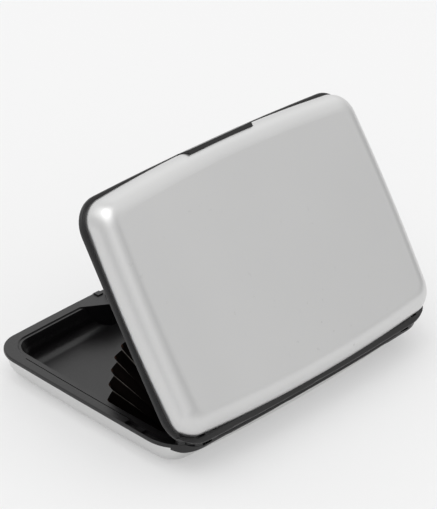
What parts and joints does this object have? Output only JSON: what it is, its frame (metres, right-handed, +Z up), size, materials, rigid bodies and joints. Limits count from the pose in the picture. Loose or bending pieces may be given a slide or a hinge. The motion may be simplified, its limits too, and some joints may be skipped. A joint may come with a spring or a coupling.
{
  "type": "card case",
  "caption": "Hinged aluminium card case, standing open, with a press latch on the front edge and an accordion card holder between its two trays.",
  "frame": {"origin": "centre of the flat underside of the lower shell", "axes": "+X along the hinge, -Y towards the latch edge, +Y towards the hinge, +Z up"},
  "size_m": [0.1108, 0.078, 0.0712],
  "materials": {
    "shell_aluminium": "bead blasted and clear anodised, satin silver",
    "frame_black": "fine textured moulded black, satin",
    "button_black": "moulded black, satin",
    "pin_steel": "drawn steel wire",
    "spring_steel": "drawn spring wire",
    "tape_white": "thin white adhesive strip",
    "sheet_black": "thin black sheet, soft sheen",
    "gusset_black": "thin black pleated sheet, soft sheen"
  },
  "bodies": {
    "base": {"lower_shell": "shell_aluminium", "lower_frame": "frame_black", "hinge_pins": "pin_steel", "latch_springs": "spring_steel", "lower_tape": "tape_white", "lower_leaf": "sheet_black", "left_gusset": "gusset_black", "right_gusset": "gusset_black", "rear_gusset": "gusset_black"},
    "lid": {"upper_shell": "shell_aluminium", "upper_frame": "frame_black", "upper_tape": "tape_white", "upper_leaf": "sheet_black"},
    "latch_button": {"latch_button": "button_black"},
    "divider_1": {"divider_1": "sheet_black"},
    "divider_2": {"divider_2": "sheet_black"},
    "divider_3": {"divider_3": "sheet_black"},
    "divider_4": {"divider_4": "sheet_black"},
    "divider_5": {"divider_5": "sheet_black"},
    "divider_6": {"divider_6": "sheet_black"},
    "divider_7": {"divider_7": "sheet_black"},
    "divider_8": {"divider_8": "sheet_black"}
  },
  "joints": [
    {"name": "lid_hinge", "type": "hinge", "parent": "base", "child": "lid", "pos_m": [0, 0.03553, 0.00915], "axis": [-1, 0, 0], "range_deg": [-53.8, 36.2], "deforming": ["left_gusset", "right_gusset", "rear_gusset"]},
    {"name": "latch_push", "type": "slide", "parent": "base", "child": "latch_button", "axis": [0, 1, 0], "range_m": [0, 0.001], "stiffness_N_per_m": 800, "springref_m": -0.0012, "deforming": ["latch_springs"]},
    {"name": "divider_1_turn", "type": "hinge", "parent": "base", "child": "divider_1", "pos_m": [0, 0.03553, 0.00915], "axis": [-1, 0, 0], "range_deg": [-6.28, 4.32]},
    {"name": "divider_2_turn", "type": "hinge", "parent": "base", "child": "divider_2", "pos_m": [0, 0.03553, 0.00915], "axis": [-1, 0, 0], "range_deg": [-12.26, 8.34]},
    {"name": "divider_3_turn", "type": "hinge", "parent": "base", "child": "divider_3", "pos_m": [0, 0.03553, 0.00915], "axis": [-1, 0, 0], "range_deg": [-18.23, 12.37]},
    {"name": "divider_4_turn", "type": "hinge", "parent": "base", "child": "divider_4", "pos_m": [0, 0.03553, 0.00915], "axis": [-1, 0, 0], "range_deg": [-24.21, 16.39]},
    {"name": "divider_5_turn", "type": "hinge", "parent": "base", "child": "divider_5", "pos_m": [0, 0.03553, 0.00915], "axis": [-1, 0, 0], "range_deg": [-30.19, 20.41]},
    {"name": "divider_6_turn", "type": "hinge", "parent": "base", "child": "divider_6", "pos_m": [0, 0.03553, 0.00915], "axis": [-1, 0, 0], "range_deg": [-36.17, 24.43]},
    {"name": "divider_7_turn", "type": "hinge", "parent": "base", "child": "divider_7", "pos_m": [0, 0.03553, 0.00915], "axis": [-1, 0, 0], "range_deg": [-42.14, 28.46]},
    {"name": "divider_8_turn", "type": "hinge", "parent": "base", "child": "divider_8", "pos_m": [0, 0.03553, 0.00915], "axis": [-1, 0, 0], "range_deg": [-48.12, 32.48]}
  ],
  "couplings": [
    {"joint": "divider_1_turn", "follows": "lid_hinge", "ratio": 0.11111},
    {"joint": "divider_2_turn", "follows": "lid_hinge", "ratio": 0.22222},
    {"joint": "divider_3_turn", "follows": "lid_hinge", "ratio": 0.33333},
    {"joint": "divider_4_turn", "follows": "lid_hinge", "ratio": 0.44444},
    {"joint": "divider_5_turn", "follows": "lid_hinge", "ratio": 0.55556},
    {"joint": "divider_6_turn", "follows": "lid_hinge", "ratio": 0.66667},
    {"joint": "divider_7_turn", "follows": "lid_hinge", "ratio": 0.77778},
    {"joint": "divider_8_turn", "follows": "lid_hinge", "ratio": 0.88889}
  ]
}
